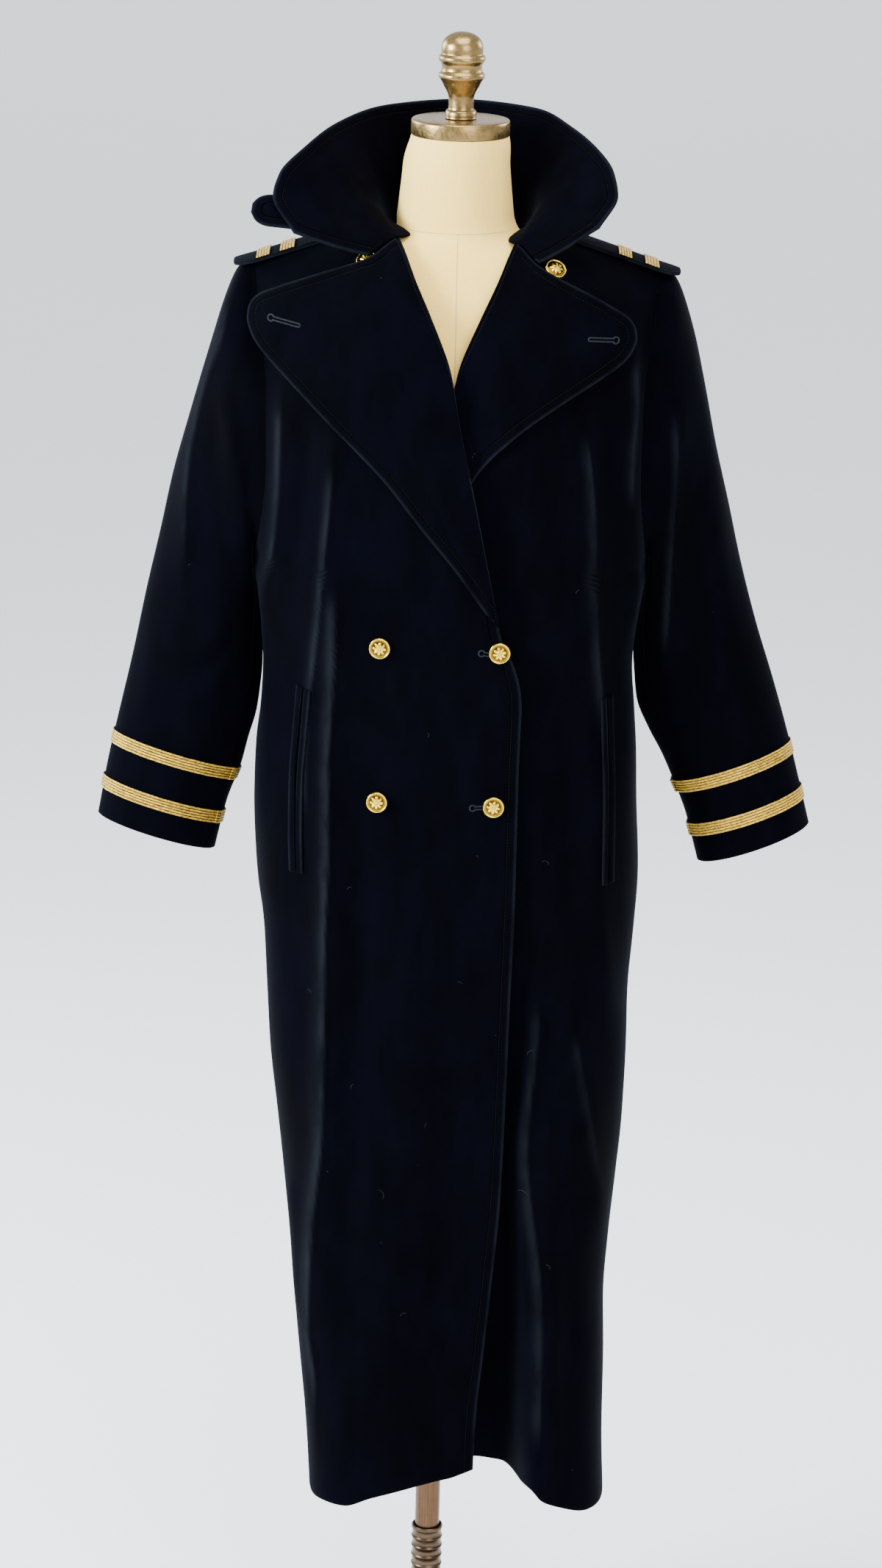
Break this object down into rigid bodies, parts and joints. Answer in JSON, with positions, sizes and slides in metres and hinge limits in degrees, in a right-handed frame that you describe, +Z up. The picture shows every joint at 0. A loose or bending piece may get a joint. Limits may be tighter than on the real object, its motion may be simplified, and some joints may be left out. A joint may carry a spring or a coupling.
{
  "type": "long double-breasted coat on a dress form",
  "caption": "Long velvet double-breasted coat with a standing collar, wide lapels, gold braid and domed buttons, on a limbless dress form whose pole slides in a ringed socket.",
  "frame": {"origin": "centre of the round base's underside, on the pole's axis", "axes": "+Z up along the pole, -Y the way the coat's front faces, -X the wearer's right"},
  "size_m": [0.7545, 0.35, 1.8433],
  "materials": {
    "black_velvet": "cut pile velvet, near black with a cool sheen",
    "gold_braid": "woven metallic braid with fine ribs",
    "gilt_metal": "bright gilt, domed",
    "cream_linen": "plain matt linen",
    "antique_brass": "aged, glossy, crackled",
    "brushed_bronze": "brushed, bronze tint",
    "base_iron": "satin dark coating"
  },
  "bodies": {
    "stand": {"base": "base_iron", "pole_socket": "brushed_bronze"},
    "figure": {"form_torso": "cream_linen", "neck_cap": "antique_brass", "finial": "antique_brass", "pole": "brushed_bronze", "front_right": "black_velvet", "front_left": "black_velvet", "back": "black_velvet", "sleeve_right_upper": "black_velvet", "sleeve_right_under": "black_velvet", "sleeve_left_upper": "black_velvet", "sleeve_left_under": "black_velvet", "braid_right_lower": "gold_braid", "braid_right_upper": "gold_braid", "braid_left_lower": "gold_braid", "braid_left_upper": "gold_braid", "lapel_right": "black_velvet", "lapel_left": "black_velvet", "collar": "black_velvet", "collar_tab": "black_velvet", "epaulette_right": "black_velvet", "epaulette_left": "black_velvet", "epaulette_braid_right_1": "gold_braid", "epaulette_braid_right_2": "gold_braid", "epaulette_braid_left_1": "gold_braid", "epaulette_braid_left_2": "gold_braid", "welt_right_outer": "black_velvet", "welt_right_inner": "black_velvet", "welt_left_outer": "black_velvet", "welt_left_inner": "black_velvet", "button_upper_right": "gilt_metal", "button_upper_left": "gilt_metal", "button_lower_right": "gilt_metal", "button_lower_left": "gilt_metal", "button_top_right": "gilt_metal", "button_top_left": "gilt_metal"}
  },
  "joints": [
    {"name": "height", "type": "slide", "parent": "stand", "child": "figure", "axis": [0, 0, 1], "range_m": [-0.055, 0.06]}
  ]
}
